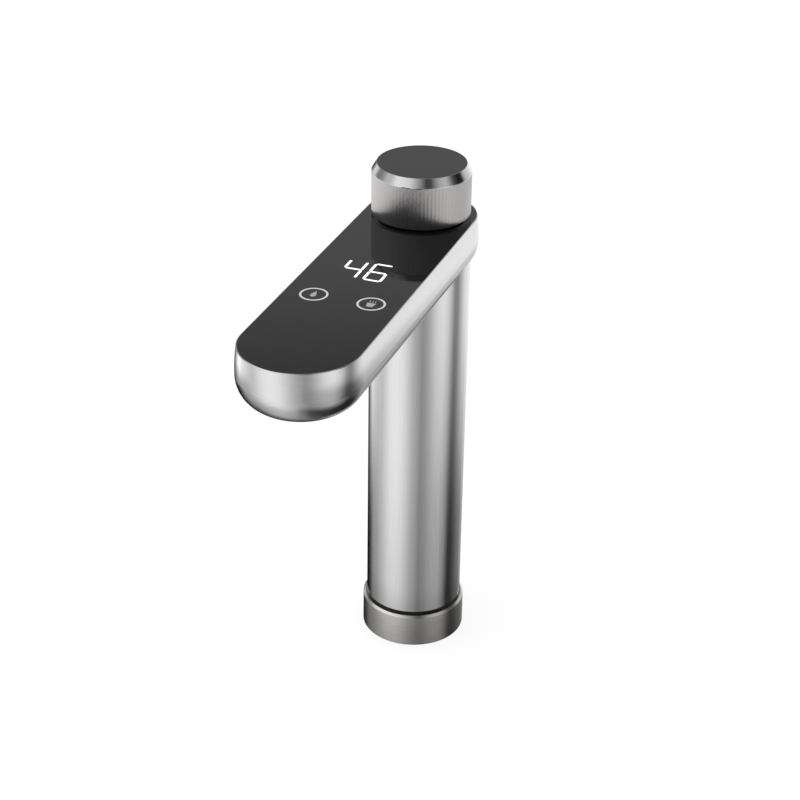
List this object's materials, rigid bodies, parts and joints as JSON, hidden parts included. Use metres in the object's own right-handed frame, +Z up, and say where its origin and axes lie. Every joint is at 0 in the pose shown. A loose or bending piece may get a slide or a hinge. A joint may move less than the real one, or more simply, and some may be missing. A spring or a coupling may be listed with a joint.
{
  "type": "drinking water filter tap",
  "caption": "Deck tap for filtered water: swivelling brushed tube, round-ended spout with a black touch panel and digits, and a ridged push-and-turn dial on top.",
  "frame": {"origin": "centre of the base's underside, on the deck, at the mouth of the threaded socket", "axes": "+Z up along the tube, spout pointing to -Y, +X to the right seen from the front of the spout with the tube behind"},
  "size_m": [0.05, 0.1834, 0.2335],
  "materials": {
    "steel_base": "brushed round, warm grey",
    "steel_tube": "finely brushed along the tube",
    "steel_spout": "finely brushed, satin",
    "panel_gloss": "black glass, glossy",
    "dial_steel": "straight ridges, satin",
    "dial_polish": "polished chamfer",
    "dial_graphite": "dark satin coating",
    "nozzle_chrome": "polished",
    "brass_inner": "machined",
    "plain_steel": "plain",
    "black_rubber": "matte",
    "white_pom": "moulded",
    "grey_plastic": "moulded",
    "black_plastic": "moulded",
    "pipe_plastic": "smooth tube",
    "board_green": "solder mask"
  },
  "bodies": {
    "base": {"base_ring": "steel_base", "base_post": "brass_inner", "deck_gasket": "black_rubber", "slide_ring": "black_plastic", "stop_pin": "plain_steel", "post_seals": "black_rubber", "retaining_clip": "plain_steel", "thrust_washer": "white_pom"},
    "spout": {"body_tube": "steel_tube", "tube_bush": "white_pom", "inlet_carrier": "brass_inner", "inlet_fitting": "grey_plastic", "fitting_collet": "white_pom", "inlet_washer": "black_rubber", "lead_socket": "black_plastic", "signal_lead": "black_rubber", "water_pipe": "pipe_plastic", "spout_shell": "steel_spout", "touch_panel": "panel_gloss", "panel_gasket": "black_rubber", "control_board": "board_green", "digit_module": "grey_plastic", "touch_springs": "plain_steel", "board_screws": "plain_steel", "outlet_nozzle": "nozzle_chrome", "nozzle_seal": "black_rubber", "flow_straightener": "white_pom", "encoder_housing": "grey_plastic", "encoder_washer": "plain_steel", "encoder_nut": "plain_steel", "press_dome": "plain_steel"},
    "rotor": {"encoder_rotor": "white_pom"},
    "dial": {"encoder_shaft": "plain_steel", "dial_sleeve": "dial_steel", "dial_trim_ring": "dial_polish", "dial_cap": "dial_graphite"}
  },
  "joints": [
    {"name": "spout_swivel", "type": "hinge", "parent": "base", "child": "spout", "pos_m": [0, 0, 0.0178], "axis": [0, 0, 1], "range_deg": [-90, 90]},
    {"name": "dial_turn", "type": "hinge", "parent": "spout", "child": "rotor", "pos_m": [0, 0, 0.2045], "axis": [0, 0, 1], "continuous": true},
    {"name": "dial_press", "type": "slide", "parent": "rotor", "child": "dial", "axis": [0, 0, -1], "range_m": [0, 0.001], "stiffness_N_per_m": 1500, "springref_m": -0.002, "deforming": ["press_dome"]}
  ]
}
